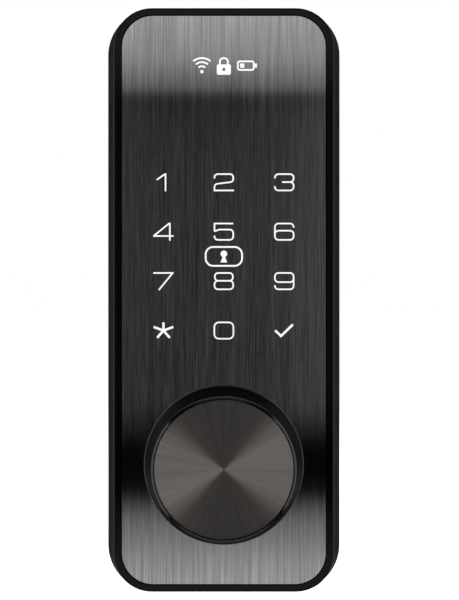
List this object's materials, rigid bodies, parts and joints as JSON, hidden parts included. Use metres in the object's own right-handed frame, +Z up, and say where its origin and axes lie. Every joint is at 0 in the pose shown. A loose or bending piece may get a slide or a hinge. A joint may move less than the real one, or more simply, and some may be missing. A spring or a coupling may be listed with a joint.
{
  "type": "keypad smart lock",
  "caption": "Outside unit of a keypad smart lock: flared black housing, brushed touch panel with lit keys, and a round turn knob that drives a flat tailpiece through a motor-shifted clutch.",
  "frame": {"origin": "where the knob and tailpiece axis meets the door's outer face, which is the rear face of the door gasket", "axes": "+X to the right as seen from outside, +Y into the door along the spindle, +Z up"},
  "size_m": [0.07, 0.1037, 0.176],
  "materials": {
    "housing_black": "satin",
    "frame_black": "gloss",
    "panel_brushed": "brushed",
    "legend_white": "satin",
    "adhesive_black": "satin",
    "baffle_black": "matte",
    "guide_clear": "frosted",
    "board_green": "satin",
    "flex_amber": "satin",
    "led_white": "gloss",
    "chip_black": "matte",
    "connector_ivory": "satin",
    "connector_black": "satin",
    "shield_tin": "satin",
    "screw_steel": "satin",
    "knob_black": "satin",
    "trim_chrome": "polished",
    "disc_spun": "spun",
    "surround_grey": "satin",
    "shaft_steel": "turned",
    "bush_bronze": "turned",
    "felt_grey": "matte",
    "zinc_grey": "cast",
    "fork_acetal": "satin",
    "pinion_brass": "machined",
    "motor_nickel": "satin",
    "plate_zinc": "satin",
    "gasket_rubber": "matte",
    "flap_rubber": "matte"
  },
  "bodies": {
    "lock_body": {"rear_housing": "housing_black", "front_bezel": "frame_black", "front_panel": "panel_brushed", "panel_seal": "adhesive_black", "legend_1": "legend_white", "legend_2": "legend_white", "legend_3": "legend_white", "legend_4": "legend_white", "legend_5": "legend_white", "legend_6": "legend_white", "legend_7": "legend_white", "legend_8": "legend_white", "legend_9": "legend_white", "legend_star": "legend_white", "legend_0": "legend_white", "legend_check": "legend_white", "lock_symbol": "legend_white", "status_symbols": "legend_white", "light_guide": "guide_clear", "light_baffle": "baffle_black", "backlight_leds": "led_white", "keypad_board": "board_green", "board_header": "connector_black", "main_board": "board_green", "board_chips": "chip_black", "radio_module": "shield_tin", "buzzer": "chip_black", "harness_socket": "connector_ivory", "flex_circuits": "flex_amber", "board_screws": "screw_steel", "body_screws": "screw_steel", "clutch_motor": "motor_nickel", "motor_strap": "plate_zinc", "fork_guide_pin": "shaft_steel", "shaft_bush": "bush_bronze", "shaft_seal": "felt_grey", "thrust_washer": "screw_steel", "knob_surround": "surround_grey", "spindle_bush": "bush_bronze", "back_plate": "plate_zinc", "door_gasket": "gasket_rubber", "mounting_posts": "shaft_steel", "power_socket": "shield_tin", "port_board": "board_green", "flap_pin": "shaft_steel"},
    "knob": {"knob_body": "knob_black", "knob_trim_ring": "trim_chrome", "knob_disc": "disc_spun", "knob_screw": "screw_steel", "knob_shaft": "shaft_steel", "driver_dog": "zinc_grey", "shaft_circlip": "screw_steel"},
    "spindle": {"spindle_hub": "zinc_grey", "tailpiece": "plate_zinc", "tailpiece_pin": "shaft_steel"},
    "sleeve": {"clutch_sleeve": "zinc_grey"},
    "shifter": {"shift_fork": "fork_acetal"},
    "pinion": {"motor_pinion": "pinion_brass", "motor_shaft": "shaft_steel"},
    "flap": {"port_flap": "flap_rubber"}
  },
  "joints": [
    {"name": "knob_turn", "type": "hinge", "parent": "lock_body", "child": "knob", "pos_m": [0, -0.0245, 0], "axis": [0, 1, 0], "range_deg": [-90, 90]},
    {"name": "tailpiece_turn", "type": "hinge", "parent": "lock_body", "child": "spindle", "pos_m": [0, 0, 0], "axis": [0, 1, 0], "range_deg": [-90.5, 90.5]},
    {"name": "fork_shift", "type": "slide", "parent": "lock_body", "child": "shifter", "axis": [0, 1, 0], "range_m": [0, 0.002]},
    {"name": "pinion_turn", "type": "hinge", "parent": "lock_body", "child": "pinion", "pos_m": [0, -0.0094, -0.01825], "axis": [-1, 0, 0], "range_deg": [0, 32]},
    {"name": "sleeve_shift", "type": "slide", "parent": "spindle", "child": "sleeve", "axis": [0, 1, 0], "range_m": [0, 0.00202]},
    {"name": "flap_open", "type": "hinge", "parent": "lock_body", "child": "flap", "pos_m": [-0.0062, -0.01028, -0.03784], "axis": [0, 0.9917, -0.1288], "range_deg": [0, 100]}
  ],
  "couplings": [
    {"joint": "tailpiece_turn", "follows": "knob_turn", "ratio": 1},
    {"joint": "pinion_turn", "follows": "fork_shift", "rad_per_m": 277.78},
    {"joint": "sleeve_shift", "follows": "fork_shift", "ratio": 1}
  ]
}
